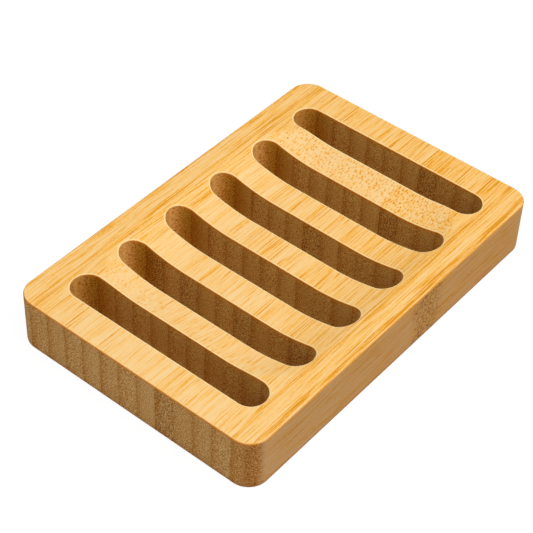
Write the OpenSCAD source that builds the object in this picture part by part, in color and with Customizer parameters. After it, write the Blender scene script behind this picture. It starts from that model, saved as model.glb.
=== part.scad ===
/* [Board] */
// Length of the board, along the bamboo strips
board_l = 120; // [105:1:160]
// Width of the board, along the drain slots
board_w = 80; // [72:1:100]
// Height of the board
board_h = 16.7; // [12:0.1:25]
// Radius of the four upright corners
corner_r = 6; // [3:0.5:9]
// Radius that eases the outer edge round the top
top_edge_r = 0.7; // [0.3:0.1:1.5]
// Radius that eases the outer edge round the underside
bottom_edge_r = 0.9; // [0.3:0.1:2]

/* [Bamboo strips] */
// Thickness of one strip, from glue line to glue line
strip_w = 6.15; // [5:0.05:6.4]
// How far the strips' pattern lies off the middle of the board
strip_shift = -0.45; // [-0.8:0.05:0.8]

/* [Drain slots] */
// Number of slots
slot_count = 6; // [1:1:6]
// Length of a slot, over its round ends
slot_l = 63.8; // [40:0.1:66]
// Width of a slot
slot_w = 9; // [5:0.1:12]
// Distance from the middle of one slot to the middle of the next
slot_pitch = 18.35; // [14:0.05:19]

/* [Soap basin] */
// Depth of the basin's flat floor below the rim
basin_depth = 3.7; // [1.5:0.1:6]
// Length of the basin at the rim
basin_l = 88; // [75:0.5:100]
// Width of the basin at the rim
basin_w = 66; // [55:0.5:70]
// Radius of the sides that rise from the floor to the rim
basin_side_r = 50; // [25:1:60]

/* [Hidden] */
// The board is one panel of upright strips, glued face to face and then milled as one piece
MIDDLE_STRIPS = 11;
STRIPS = MIDDLE_STRIPS + 2;

// How far a cut runs past the face that it opens
overrun = 2;
// Facets of a full circle in the preview
$fn = 96;

// Half sizes of the straight part between the upright corners
straight_x = board_w / 2 - corner_r;
straight_y = board_l / 2 - corner_r;
// How far the basin's curved side reaches in from the rim, from the circle's chord
basin_reach = sqrt(2 * basin_side_r * basin_depth - basin_depth * basin_depth);
// Half sizes of the basin's flat floor
floor_x = basin_w / 2 - basin_reach;
floor_y = basin_l / 2 - basin_reach;
// First slot's place; the row of slots is centred on the board
first_slot_y = -slot_pitch * (slot_count - 1) / 2;

// Colours of the sanded bamboo, light and dark strips by turns
bamboo_light = [0.96, 0.79, 0.53];
bamboo_dark = [0.91, 0.71, 0.43];

// Left face of strip i: the first strip starts at the board's edge, the others at a glue line
function strip_left(i) =
    i == 1 ? -board_w / 2 : strip_shift + strip_w * (i - 2 - MIDDLE_STRIPS / 2);

// Right face of strip i: the last strip ends at the board's edge
function strip_right(i) =
    i == STRIPS ? board_w / 2 : strip_left(i + 1);

// Upright section through the board's outer wall, from inside the corner to the outer face,
// with both outer edges eased
module wall_section() {
    translate([0, bottom_edge_r])
        square([corner_r, board_h - top_edge_r - bottom_edge_r]);
    square([corner_r - bottom_edge_r, board_h / 2]);
    translate([0, board_h / 2])
        square([corner_r - top_edge_r, board_h / 2]);
    translate([corner_r - bottom_edge_r, bottom_edge_r])
        circle(bottom_edge_r);
    translate([corner_r - top_edge_r, board_h - top_edge_r])
        circle(top_edge_r);
}

// Upright section through the basin's side: the arc that climbs from the floor to the rim
module basin_section() {
    intersection() {
        translate([0, basin_side_r])
            circle(basin_side_r, $fn = 4 * $fn);
        square([basin_side_r, basin_depth + overrun]);
    }
}

// Carries an upright section round a rectangle: straight runs along the sides, quarter turns
// at the corners, and a plain block in the middle
module carry_round(half_x, half_y, height) {
    for (turn = [0, 180])
        rotate([0, 0, turn]) {
            translate([half_x, half_y, 0])
                rotate([90, 0, 0])
                    linear_extrude(2 * half_y)
                        children();
            translate([-half_x, half_y, 0])
                rotate([90, 0, 90])
                    linear_extrude(2 * half_x)
                        children();
            translate([half_x, half_y, 0])
                rotate_extrude(angle = 90)
                    children();
            translate([-half_x, half_y, 0])
                rotate([0, 0, 90])
                    rotate_extrude(angle = 90)
                        children();
        }
    translate([-half_x, -half_y, 0])
        cube([2 * half_x, 2 * half_y, height]);
}

// The board before it is hollowed: a low block with upright round corners and eased edges
module board_blank() {
    carry_round(straight_x, straight_y, board_h)
        wall_section();
}

// The soap basin: a flat floor with sides that rise on one radius, as a cove cutter leaves it
module basin_cut() {
    translate([0, 0, board_h - basin_depth])
        carry_round(floor_x, floor_y, basin_depth + overrun)
            basin_section();
}

// One drain slot, right through the board, with round ends
module slot_cut() {
    end_x = (slot_l - slot_w) / 2;
    cut_h = board_h + 2 * overrun;
    translate([-end_x, -slot_w / 2, -overrun])
        cube([2 * end_x, slot_w, cut_h]);
    for (x = [-end_x, end_x])
        translate([x, 0, -overrun])
            cylinder(h = cut_h, d = slot_w);
}

// The space that strip i fills, from glue line to glue line
module strip_slab(i) {
    translate([strip_left(i), -board_l / 2, 0])
        cube([strip_right(i) - strip_left(i), board_l, board_h]);
}

// One bamboo strip of the finished board; the slots leave the middle strips in short blocks
module strip(i) {
    color(i % 2 == 0 ? bamboo_dark : bamboo_light)
        difference() {
            intersection() {
                board_blank();
                strip_slab(i);
            }
            basin_cut();
            for (k = [0:slot_count - 1])
                translate([0, first_slot_y + k * slot_pitch, 0])
                    slot_cut();
        }
}

for (i = [1:STRIPS])
    strip(i);
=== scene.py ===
"""Bamboo soap dish: one laminated board with a shallow soap basin and six drain slots.

Sizes are in metres and angles in radians, unless a name or comment says otherwise. X runs along
the slots, Y along the bamboo strips, and Z up from the flat underside.
"""

import logging
import math
from dataclasses import dataclass, field
from enum import Enum
from typing import Any

import bmesh
import bpy
import numpy as np
from mathutils import Matrix, Vector
from numpy.typing import NDArray


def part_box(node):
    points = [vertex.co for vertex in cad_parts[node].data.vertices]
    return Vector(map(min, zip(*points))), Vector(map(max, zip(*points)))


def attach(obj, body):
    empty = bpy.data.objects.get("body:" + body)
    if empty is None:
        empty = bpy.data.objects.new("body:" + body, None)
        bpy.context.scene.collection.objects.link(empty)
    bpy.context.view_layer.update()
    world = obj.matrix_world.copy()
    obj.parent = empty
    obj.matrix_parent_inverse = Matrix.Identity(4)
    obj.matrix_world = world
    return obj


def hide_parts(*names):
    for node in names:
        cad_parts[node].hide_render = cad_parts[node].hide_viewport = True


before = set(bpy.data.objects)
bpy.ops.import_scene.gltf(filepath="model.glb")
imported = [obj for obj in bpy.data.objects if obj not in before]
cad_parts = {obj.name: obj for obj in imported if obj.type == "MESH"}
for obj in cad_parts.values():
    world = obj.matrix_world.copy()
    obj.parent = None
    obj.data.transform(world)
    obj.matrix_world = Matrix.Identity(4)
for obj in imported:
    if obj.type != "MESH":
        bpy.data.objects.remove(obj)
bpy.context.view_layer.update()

Array = NDArray[np.float64]
Socket = bpy.types.NodeSocket
Value = float | Socket
Triple = tuple[float, float, float]
Pair = tuple[Value, Value]
Spot = tuple[float, float]
Shade = tuple[int, int, int]

MM = 0.001
log = logging.getLogger("soap_dish")


def paint(red: int, green: int, blue: int) -> tuple[float, float, float, float]:
    """Turns a screen colour into the linear one that a shader takes.

    Args:
        red: Red, 0 to 255.
        green: Green, 0 to 255.
        blue: Blue, 0 to 255.

    Returns:
        The linear colour with an alpha of 1.
    """
    shares = [part / 255 for part in (red, green, blue)]
    linear = [s / 12.92 if s <= 0.04045 else ((s + 0.055) / 1.055) ** 2.4 for s in shares]
    return (*linear, 1.0)


class Stock(Enum):
    """The two shades of bamboo that the strips are laid up from."""

    LIGHT = "bamboo_light"
    DARK = "bamboo_dark"


class Wiring:
    """Short calls that build one node tree from left to right."""

    def __init__(self, tree: bpy.types.NodeTree) -> None:
        """Keeps the tree and empties it.

        Args:
            tree: The material's, world's or group's node tree.
        """
        self.tree = tree
        self.tree.nodes.clear()
        self.column = 0

    def add(self, kind: str, **settings: Any) -> bpy.types.Node:
        """Adds one node.

        Args:
            kind: The node's type name.
            **settings: Properties to set on it.

        Returns:
            The new node.
        """
        node = self.tree.nodes.new(kind)
        node.location = (180 * (self.column // 4), -220 * (self.column % 4))
        self.column += 1
        for name, value in settings.items():
            setattr(node, name, value)
        return node

    def feed(self, socket: Socket, value: Any) -> None:
        """Links a socket into an input, or sets the input to a plain value.

        Args:
            socket: The input.
            value: The other node's socket, or the plain value.
        """
        if isinstance(value, bpy.types.NodeSocket):
            self.tree.links.new(value, socket)
        else:
            socket.default_value = value

    def math(self, operation: str, *values: Value, clamp: bool = False) -> Socket:
        """Does one step of arithmetic.

        Args:
            operation: The Math node's operation.
            *values: Its inputs in order.
            clamp: Whether the result is held between 0 and 1.

        Returns:
            The result's socket.
        """
        node = self.add("ShaderNodeMath", operation=operation, use_clamp=clamp)
        for socket, value in zip(node.inputs, values):
            self.feed(socket, value)
        return node.outputs[0]

    def vector(self, operation: str, *values: Any) -> Socket:
        """Does one step of vector arithmetic.

        Args:
            operation: The Vector Math node's operation.
            *values: Its vector inputs in order; for SCALE the second is the scale.

        Returns:
            The resulting vector's socket.
        """
        node = self.add("ShaderNodeVectorMath", operation=operation)
        self.feed(node.inputs[0], values[0])
        self.feed(node.inputs["Scale"] if operation == "SCALE" else node.inputs[1], values[1])
        return node.outputs["Vector"]

    def split(self, vector: Socket) -> tuple[Socket, Socket, Socket]:
        """Takes a vector apart.

        Args:
            vector: The vector.

        Returns:
            Its three numbers' sockets.
        """
        node = self.add("ShaderNodeSeparateXYZ")
        self.feed(node.inputs[0], vector)
        return node.outputs[0], node.outputs[1], node.outputs[2]

    def gather(self, x: Value, y: Value, z: Value) -> Socket:
        """Puts three numbers together into a vector.

        Args:
            x: The first number.
            y: The second number.
            z: The third number.

        Returns:
            The vector's socket.
        """
        node = self.add("ShaderNodeCombineXYZ")
        for socket, value in zip(node.inputs, (x, y, z)):
            self.feed(socket, value)
        return node.outputs[0]

    def ramp(
        self, value: Socket, start: Value, end: Value, low: Value = 0.0, high: Value = 1.0
    ) -> Socket:
        """Eases a value from one range to another, and holds it there outside the range.

        Args:
            value: The value to ease.
            start: Where the result is low.
            end: Where the result is high.
            low: The result at the start.
            high: The result at the end.

        Returns:
            The eased value's socket.
        """
        node = self.add("ShaderNodeMapRange", interpolation_type="SMOOTHSTEP")
        names = ("Value", "From Min", "From Max", "To Min", "To Max")
        for name, item in zip(names, (value, start, end, low, high)):
            self.feed(node.inputs[name], item)
        return node.outputs["Result"]

    def blend(self, share: Value, first: Any, second: Any, kind: str = "MIX") -> Socket:
        """Mixes two colours.

        Args:
            share: How much of the second one shows.
            first: The first colour.
            second: The second colour.
            kind: The Mix node's blend type.

        Returns:
            The mixed colour's socket.
        """
        node = self.add("ShaderNodeMix", data_type="RGBA", blend_type=kind)
        self.feed(node.inputs["Factor"], share)
        self.feed(node.inputs[6], first)
        self.feed(node.inputs[7], second)
        return node.outputs[2]

    def noise(
        self, vector: Socket, cells: Triple, detail: float = 1.0, roughness: float = 0.5
    ) -> bpy.types.Node:
        """Adds a noise whose cells have one size along each axis.

        Args:
            vector: The place, in millimetres.
            cells: The size of a cell along each axis, in millimetres.
            detail: The number of finer layers.
            roughness: How much the finer layers count.

        Returns:
            The noise node.
        """
        node = self.add("ShaderNodeTexNoise")
        shrink = tuple(1 / size for size in cells)
        self.feed(node.inputs["Vector"], self.vector("MULTIPLY", vector, shrink))
        self.feed(node.inputs["Scale"], 1.0)
        self.feed(node.inputs["Detail"], detail)
        self.feed(node.inputs["Roughness"], roughness)
        return node

    def scaled(self, value: Value, factor: Value, added: Value = 0.0) -> Socket:
        """Returns a value times a factor, with something added."""
        return self.math("MULTIPLY_ADD", value, factor, added)

    def product(self, first: Value, second: Value, clamp: bool = False) -> Socket:
        """Returns two values multiplied, and held between 0 and 1 if clamp is set."""
        return self.math("MULTIPLY", first, second, clamp=clamp)

    def rest(self, value: Value, clamp: bool = False) -> Socket:
        """Returns what a value lacks to 1, and holds it between 0 and 1 if clamp is set."""
        return self.math("SUBTRACT", 1.0, value, clamp=clamp)

    def waver(self, vector: Socket, cells: Triple, reach: float) -> Socket:
        """Makes a number that strays softly to both sides of nought.

        Args:
            vector: The place, in millimetres.
            cells: The size of a cell along each axis, in millimetres.
            reach: The furthest that the number could stray.

        Returns:
            The number's socket.
        """
        value = self.noise(vector, cells).outputs["Fac"]
        return self.product(self.math("SUBTRACT", value, 0.5), 2 * reach)

    def stray(self, vector: Socket, cells: Triple, reach: float) -> Socket:
        """Makes a vector that strays softly along X and Z.

        Args:
            vector: The place, in millimetres.
            cells: The size of a cell along each axis, in millimetres.
            reach: The furthest that it could stray along one axis.

        Returns:
            The vector's socket.
        """
        offset = self.vector("SUBTRACT", self.noise(vector, cells).outputs["Color"], (0.5, 0.5, 0.5))
        return self.vector("MULTIPLY", offset, (2 * reach, 0.0, 2 * reach))

    def window(self, value: Socket, rise: Pair, fall: Pair) -> Socket:
        """Picks out one range of a value.

        Args:
            value: The value.
            rise: Where the mask starts to rise, and where it has reached 1.
            fall: Where the mask starts to fall, and where it is back at nought.

        Returns:
            The mask's socket.
        """
        return self.product(self.ramp(value, rise[0], rise[1]), self.ramp(value, fall[1], fall[0]))

    def place(self, group: bpy.types.NodeTree, **values: Any) -> bpy.types.Node:
        """Places a node group and feeds its inputs.

        Args:
            group: The shared group.
            **values: Its inputs by name, with underscores for spaces.

        Returns:
            The group's node.
        """
        node = self.add("ShaderNodeGroup")
        node.node_tree = group
        for name, value in values.items():
            self.feed(node.inputs[name.replace("_", " ")], value)
        return node


class GroupBuilder(Wiring):
    """A shared node group with named inputs and outputs."""

    KINDS = {"value": "NodeSocketFloat", "vector": "NodeSocketVector", "colour": "NodeSocketColor"}

    def __init__(self, name: str, inputs: dict[str, str], outputs: dict[str, str]) -> None:
        """Makes the group and its sockets.

        Args:
            name: The group's name.
            inputs: Each input's name and kind: value, vector or colour.
            outputs: Each output's name and kind.
        """
        super().__init__(bpy.data.node_groups.new(name, "ShaderNodeTree"))
        for sockets, way in ((inputs, "INPUT"), (outputs, "OUTPUT")):
            for label, kind in sockets.items():
                self.tree.interface.new_socket(label, in_out=way, socket_type=self.KINDS[kind])
        self.given = self.add("NodeGroupInput").outputs
        self.result = self.add("NodeGroupOutput").inputs

    def off(self, name: str, middle: float) -> Socket:
        """Returns an input counted from its middle value."""
        return self.math("SUBTRACT", self.given[name], middle)

    def coat(self, base: Any, mask: Value, strength: float, colour: Shade, kind: str = "MIX") -> Socket:
        """Lays a colour over another one where a mask shows it.

        Args:
            base: The colour underneath.
            mask: Where the new colour lies.
            strength: How much of it shows there.
            colour: The new colour, as it looks on a screen.
            kind: The Mix node's blend type.

        Returns:
            The mixed colour's socket.
        """
        share = mask if strength == 1.0 else self.product(mask, strength)
        return self.blend(share, base, paint(*colour), kind)

    def finish(self, **values: Socket) -> bpy.types.NodeTree:
        """Feeds the group's outputs.

        Args:
            **values: The outputs by name, with underscores for spaces.

        Returns:
            The finished group.
        """
        for name, value in values.items():
            self.feed(self.result[name.replace("_", " ")], value)
        return self.tree


@dataclass(frozen=True)
class Layer:
    """One soft layer of the wood's pattern: a noise that is stretched along the fibres.

    Attributes:
        cells: Size of a cell along each axis, in millimetres.
        low: The noise's value where the layer is 0.
        high: The noise's value where the layer is 1.
        detail: The number of finer layers in the noise.
        roughness: How much they count.
    """

    cells: Triple
    low: float
    high: float
    detail: float = 1.0
    roughness: float = 0.5


@dataclass(frozen=True)
class Fibres:
    """The pattern of bamboo fibres, which run along Y and show as dots where they are cut across.

    Attributes:
        spacing: Distance between fibres, in millimetres.
        disorder: How far the fibres' places depart from rows, from 0 to 1.
        wander: How far a fibre strays sideways and up, in millimetres.
        wave: Length over which it strays, in millimetres.
        tangle: How far it strays in a stem's joint, in millimetres.
        dot_spacing: Distance between the bundles that a shallow slope shows as dots.
        dot_disorder: How far the dots' places depart from rows, from 0 to 1.
        dot_stretch: How much shorter than wide a dot is drawn in the pattern on a slope, so that
            the slope cuts it about as long as the photograph's.
        cut_stretch: The same for a face that cuts the bundles across.
    """

    spacing: float = 0.60
    disorder: float = 0.85
    wander: float = 0.5
    wave: float = 30.0
    tangle: float = 0.8
    dot_spacing: float = 0.66
    dot_disorder: float = 0.9
    dot_stretch: float = 0.52
    cut_stretch: float = 0.95

    def layers(self) -> dict[str, Layer]:
        """Lists the soft layers of the pattern.

        Returns:
            Flecks, grit, dark strands, fine streaks and broad bands, by the mask's name.
        """
        return {
            "Flecks": Layer((0.38, 1.1, 0.38), 0.44, 0.68),
            "Grit": Layer((0.24, 0.8, 0.24), 0.3, 0.7, detail=0.0),
            "Strands": Layer((0.3, 16.0, 0.3), 0.54, 0.72),
            "Fine": Layer((0.26, 15.0, 0.26), 0.3, 0.72, detail=2.0, roughness=0.65),
            "Bands": Layer((1.3, 70.0, 1.3), 0.3, 0.7),
        }

    def scatter(
        self, tree: Wiring, across: Socket, along: Socket, spacing: float, disorder: float
    ) -> tuple[Socket, tuple[Socket, Socket, Socket]]:
        """Scatters points over a plane, one to a cell.

        Args:
            tree: The tree that is built.
            across: The place along the plane's first axis.
            along: The place along its second axis.
            spacing: The size of a cell.
            disorder: How far the points lie off the middle of their cells, from 0 to 1.

        Returns:
            The distance to the nearest point in cells, and three random numbers of that point.
        """
        node = tree.add("ShaderNodeTexVoronoi", voronoi_dimensions="2D", feature="F1")
        tree.feed(node.inputs["Vector"], tree.gather(across, along, 0.0))
        tree.feed(node.inputs["Scale"], 1 / spacing)
        tree.feed(node.inputs["Randomness"], disorder)
        return node.outputs["Distance"], tree.split(node.outputs["Color"])

    def group(self) -> bpy.types.NodeTree:
        """Builds the shared group.

        Returns:
            A group that takes a place in millimetres, the density of the fibres there, how
            tangled they are and whether they are cut across. It gives the fibres, the dots of a
            shallow slope and the soft layers, each from 0 to 1.
        """
        tree = GroupBuilder(
            "Bamboo fibres",
            {"Vector": "vector", "Density": "value", "Tangle": "value", "Cut": "value"},
            {name: "value" for name in ("Fibres", "Dots", *self.layers())},
        )
        place, density, cut = (tree.given[name] for name in ("Vector", "Density", "Cut"))
        drift = tree.stray(place, (9.0, self.wave, 9.0), self.wander)
        knots = tree.stray(place, (1.1, 2.0, 1.1), self.tangle)
        knots = tree.vector("SCALE", knots, tree.given["Tangle"])
        place = tree.vector("ADD", tree.vector("ADD", place, drift), knots)
        x, y, z = tree.split(place)

        distance, chance = self.scatter(tree, x, z, self.spacing, self.disorder)
        size = tree.product(density, tree.scaled(chance[0], 0.35, 0.75))
        fibres = tree.ramp(distance, tree.product(size, 0.46), tree.product(size, 0.16))

        run = tree.product(y, tree.scaled(cut, -self.dot_stretch, self.dot_stretch))
        run = tree.math("ADD", run, tree.product(tree.product(z, self.cut_stretch), cut))
        distance, chance = self.scatter(tree, x, run, self.dot_spacing, self.dot_disorder)
        size = tree.scaled(chance[1], 0.34, 0.3)
        dots = tree.ramp(distance, size, tree.product(size, 0.1))
        dots = tree.product(dots, tree.scaled(chance[2], 0.65, 0.5))

        soft = {}
        for name, layer in self.layers().items():
            noise = tree.noise(place, layer.cells, layer.detail, layer.roughness)
            soft[name] = tree.ramp(noise.outputs["Fac"], layer.low, layer.high)
        return tree.finish(Fibres=fibres, Dots=dots, **soft)


@dataclass(frozen=True)
class Stretch:
    """A stretch of wood round one place along an axis, with a wavering outline.

    Attributes:
        name: The node group's name.
        axis: 0 where the place is along X, 1 where it is along Y.
        cells: Size of the outline's waves along each axis, in millimetres.
        stray: How far the outline wavers, in millimetres.
        core: Share of the reach within which the mask is 1.
    """

    name: str
    axis: int
    cells: Triple
    stray: float
    core: float

    def group(self) -> bpy.types.NodeTree:
        """Builds the shared group.

        Returns:
            A group that takes a place, the middle of the stretch and half its length in
            millimetres, and gives its mask.
        """
        tree = GroupBuilder(
            self.name, {"Vector": "vector", "Place": "value", "Reach": "value"}, {"Mask": "value"}
        )
        place = tree.given["Vector"]
        outline = tree.waver(place, self.cells, self.stray)
        along = tree.math("ADD", tree.split(place)[self.axis], outline)
        away = tree.math("ABSOLUTE", tree.math("SUBTRACT", along, tree.given["Place"]))
        share = tree.math("DIVIDE", away, tree.given["Reach"])
        return tree.finish(Mask=tree.ramp(share, 1.0, self.core))


CULM_JOINT = Stretch("Culm joint", 1, (5.0, 12.0, 5.0), 2.4, 0.25)
STREAK_BUNDLE = Stretch("Streak bundle", 0, (6.0, 35.0, 6.0), 1.0, 0.2)


@dataclass(frozen=True)
class StripShade:
    """How one strip's tone runs from its dense outer side, on the left, to its pale inner side.

    Attributes:
        glue: Half the width of the darkened line at a glued face, in millimetres.
        ripple: How far the tones waver sideways, in millimetres.
        slopes: Where the density is nought and where it is full, as shares of the strip's width
            from its left face, and how much each slope adds.
    """

    glue: float = 0.42
    ripple: float = 0.1
    slopes: tuple[Triple, ...] = ((0.85, 0.0, 0.35), (0.42, 0.0, 0.55), (0.84, 1.0, 0.45))

    def group(self) -> bpy.types.NodeTree:
        """Builds the shared group.

        Returns:
            A group that takes a place, the strip's left face and its width in millimetres, and
            gives the density, from 1 at the outer side to 0, and masks of the two glued faces.
        """
        tree = GroupBuilder(
            "Strip shade",
            {"Vector": "vector", "Left": "value", "Width": "value"},
            {"Density": "value", "Left Glue": "value", "Right Glue": "value"},
        )
        place, width = tree.given["Vector"], tree.given["Width"]
        inward = tree.math("SUBTRACT", tree.split(place)[0], tree.given["Left"])
        thickness = tree.noise(place, (0.6, 16.0, 2.0)).outputs["Fac"]
        thickness = tree.scaled(thickness, 0.9 * self.glue, 0.55 * self.glue)
        left = tree.ramp(tree.math("ABSOLUTE", inward), thickness, 0.0)
        right = tree.ramp(tree.math("ABSOLUTE", tree.math("SUBTRACT", inward, width)), thickness, 0.0)
        ripple = tree.waver(place, (2.2, 30.0, 9.0), self.ripple)
        share = tree.math("DIVIDE", tree.math("ADD", inward, ripple), width)
        density: Value = 0.0
        for none, full, gain in self.slopes:
            density = tree.scaled(tree.ramp(share, none, full), gain, density)
        return tree.finish(Density=density, Left_Glue=left, Right_Glue=right)


@dataclass(frozen=True)
class EdgeWearAndLight:
    """Sanded edges: a pale line over each edge, partly worn and partly painted highlight, and a
    dark line under it, partly charred and partly painted shade.

    Attributes:
        pale: Width of the pale line on the top, in millimetres.
        burnt_and_shaded: Depth of the dark line down a slot's wall, in millimetres.
        shade_depth: How far painted shade darkens the wall below that line, in millimetres.
        rim: Depth of the charred line down the board's outer wall, in millimetres.
    """

    pale: float = 0.28
    burnt_and_shaded: float = 0.35
    shade_depth: float = 2.2
    rim: float = 0.55

    def group(self) -> bpy.types.NodeTree:
        """Builds the shared group.

        Returns:
            A group that takes a place, the two runs along the surface from the middle of the
            nearest slot edge and outer edge, in millimetres, and how far the surface faces the
            board's far end. It gives the masks of the pale and dark lines.
        """
        tree = GroupBuilder(
            "Edge wear",
            {"Vector": "vector", "Slot Run": "value", "Rim Run": "value", "Away": "value"},
            {"Pale": "value", "Burnt": "value", "Rim": "value"},
        )
        slot, rim, away = (tree.given[name] for name in ("Slot Run", "Rim Run", "Away"))
        rough = tree.noise(tree.given["Vector"], (0.5, 0.9, 0.5), 2.0).outputs["Fac"]
        width = tree.scaled(rough, 1.4, 0.3)
        # Painted highlight: the pale line starts further over edges that look to the far end, towards
        # the key lamp.
        start = tree.scaled(away, -0.1, 0.05)
        rise = (start, tree.math("ADD", start, 0.1))
        over = tree.window(slot, rise, (0.2, tree.scaled(width, self.pale, 0.25)))
        under = tree.window(slot, (tree.scaled(width, -self.burnt_and_shaded, -0.3), -0.3), (-0.02, 0.08))
        # Painted shade down the wall below the dark line; both weaken on edges lit from the far end.
        wall_shade = tree.product(tree.window(slot, (-self.shade_depth, -0.2), (-0.2, 0.0)), 0.25)
        under = tree.product(tree.math("MAXIMUM", under, wall_shade), tree.scaled(away, -0.5, 1.0))
        line = tree.window(rim, (tree.product(width, -self.rim), -0.12), (0.08, 0.3))
        broken = tree.ramp(rough, 0.42, 0.6, 0.0, 0.5)
        # A broken pale band just inside the outer edge: partly worn, partly painted highlight.
        inner = tree.product(tree.window(rim, (0.25, 0.4), (0.45, 0.6)), broken)
        return tree.finish(Pale=tree.math("MAXIMUM", over, inner), Burnt=under, Rim=line)


@dataclass(frozen=True)
class BambooTone:
    """The colours of sanded bamboo along and across the fibres, and how the masks mix them.

    Attributes:
        pale: The ground between the fibres, on the top and the long sides.
        streak: The fibres there.
        deep: The darkest streaks there.
        ring: The ground in a stem's joint.
        knot: The dashes in a stem's joint.
        side: Painted shade on the long outer sides, which the lamps light less than the top.
        cut_pale: The ground between fibres that are cut across.
        cut_fibre: The cut fibres.
        pore: Tint of bold pores and glue lines in a cut face.
        corner: Painted shade on the end faces where they turn into the corners.
        wall: Tint of the slots' long walls.
        tip: Tint of the slots' round ends.
        scorch_shade: Tint of the walls near the slots' left ends: partly charred, partly painted shade.
        singed_shade: Tint of the slots' left round ends, in the same way.
        end_shade: Painted shade on the round ends of the first and last slot, the deepest ones.
        foot: Painted contact shade along the underside.
        rubbed_and_lit: The pale line over a slot's edge: partly worn, partly painted highlight.
        burnt_and_shaded: The dark line under a slot's edge: partly charred, partly painted shade.
        rim: The line under the board's outer edge.
    """

    pale: Shade = (253, 214, 153)
    streak: Shade = (254, 180, 8)
    deep: Shade = (220, 141, 42)
    ring: Shade = (247, 199, 106)
    knot: Shade = (196, 128, 66)
    side: Shade = (217, 206, 209)
    cut_pale: Shade = (252, 207, 138)
    cut_fibre: Shade = (199, 126, 43)
    pore: Shade = (172, 143, 106)
    corner: Shade = (222, 204, 186)
    wall: Shade = (243, 243, 204)
    tip: Shade = (255, 252, 236)
    scorch_shade: Shade = (228, 214, 136)
    singed_shade: Shade = (240, 205, 148)
    end_shade: Shade = (233, 228, 203)
    foot: Shade = (208, 130, 36)
    rubbed_and_lit: Shade = (255, 230, 168)
    burnt_and_shaded: Shade = (216, 124, 3)
    rim: Shade = (222, 132, 20)

    MASKS = (
        "Fibres", "Dots", "Flecks", "Grit", "Strands", "Fine", "Bands", "Density", "Glue", "Joint",
        "Bold", "Bundle", "Shade", "Cut Shade", "Upright", "Slope", "Cut", "Facing", "Corner", "Wall",
        "Scorch", "Deep End", "Low", "Pale", "Burnt", "Rim",
    )

    def grain(self, tree: GroupBuilder) -> Socket:
        """Works out how dark the wood is along its fibres, from 0 for pale to 1 for a streak.

        The strip's own tone is the base. Bands, strands and fine streaks darken and lighten it,
        more weakly on a slope, where dots show instead. Bundles and glue lines come on top. On
        upright sides all but the bands are weaker.

        Args:
            tree: The group that is built.

        Returns:
            The value's socket.
        """
        given, slope = tree.given, tree.given["Slope"]

        def sided(level: float, upright: float) -> Socket:
            """Returns one number on level faces and another one on upright faces."""
            return tree.scaled(given["Upright"], upright - level, level)

        base = tree.scaled(tree.off("Density", 0.4), 0.14, tree.math("ADD", given["Shade"], 0.38))
        bands = tree.product(tree.off("Bands", 0.5), sided(0.1, 0.15))
        strands = tree.product(tree.off("Strands", 0.15), sided(0.57, 0.21))
        streaks = tree.math("ADD", bands, strands)
        streaks = tree.scaled(tree.off("Fine", 0.5), sided(0.87, 0.84), streaks)
        grain = tree.scaled(streaks, tree.scaled(slope, -0.45, 1.0), base)
        fibres = tree.product(tree.off("Fibres", 0.14), tree.scaled(slope, -0.1, 0.36))
        grain = tree.scaled(fibres, sided(1.0, 0.3), grain)
        grain = tree.scaled(tree.product(tree.off("Dots", 0.32), slope), 1.08, grain)
        grain = tree.scaled(tree.off("Grit", 0.5), 0.2, grain)
        bundles = tree.product(given["Bundle"], tree.scaled(given["Fine"], 1.2, 0.4))
        lines = tree.scaled(given["Glue"], 0.6, bundles)
        return tree.scaled(lines, sided(1.0, 0.2), grain)

    def along(self, tree: GroupBuilder, grain: Socket) -> Socket:
        """Mixes the colour of faces that run along the fibres.

        Args:
            tree: The group that is built.
            grain: How dark the wood is.

        Returns:
            The colour's socket.
        """
        given = tree.given
        share = tree.product(grain, 1.0, clamp=True)
        colour = tree.blend(share, paint(*self.pale), paint(*self.streak))
        colour = tree.coat(colour, tree.ramp(grain, 0.62, 1.15), 0.8, self.deep)
        dashes = tree.scaled(given["Fibres"], 0.5, tree.product(tree.off("Flecks", 0.2), 2.4))
        colour = tree.coat(colour, given["Joint"], 0.75, self.ring)
        colour = tree.coat(colour, tree.product(given["Joint"], dashes, clamp=True), 1.0, self.knot)
        # Painted shade: the long outer sides are darker than the top.
        outside = tree.product(given["Upright"], tree.rest(given["Wall"]))
        return tree.coat(colour, outside, 1.0, self.side, "MULTIPLY")

    def across(self, tree: GroupBuilder) -> Socket:
        """Mixes the colour of faces that cut the fibres across.

        The dots of the fibres stand in a ground that is darker on the strip's dense side and
        paler, as painted light from the key lamp, where a slot's wall turns into its round end.

        Args:
            tree: The group that is built.

        Returns:
            The colour's socket.
        """
        given = tree.given
        shade = tree.scaled(tree.off("Density", 0.35), 0.42, tree.math("ADD", given["Cut Shade"], 0.62))
        # Painted light: paler where a slot's wall turns into its round end, which the key lamp lights.
        shade = tree.scaled(tree.product(given["Wall"], tree.rest(given["Facing"])), -0.45, shade)
        marks = (("Fibres", 0.14, 1.25), ("Flecks", 0.35, 0.6), ("Grit", 0.5, 1.45))
        for name, middle, strength in marks:
            shade = tree.scaled(tree.off(name, middle), strength, shade)
        shade = tree.math("MULTIPLY_ADD", given["Glue"], 0.5, shade, clamp=True)
        colour = tree.blend(shade, paint(*self.cut_pale), paint(*self.cut_fibre))
        pores = tree.product(tree.product(given["Bold"], given["Facing"]), given["Dots"])
        pores = tree.product(pores, 1.1, clamp=True)
        pores = tree.math("MAXIMUM", pores, tree.product(given["Glue"], 0.7))
        colour = tree.coat(colour, pores, 1.0, self.pore, "MULTIPLY")
        # Painted shade where the end faces turn into the corners.
        return tree.coat(colour, given["Corner"], 1.0, self.corner, "MULTIPLY")

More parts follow.
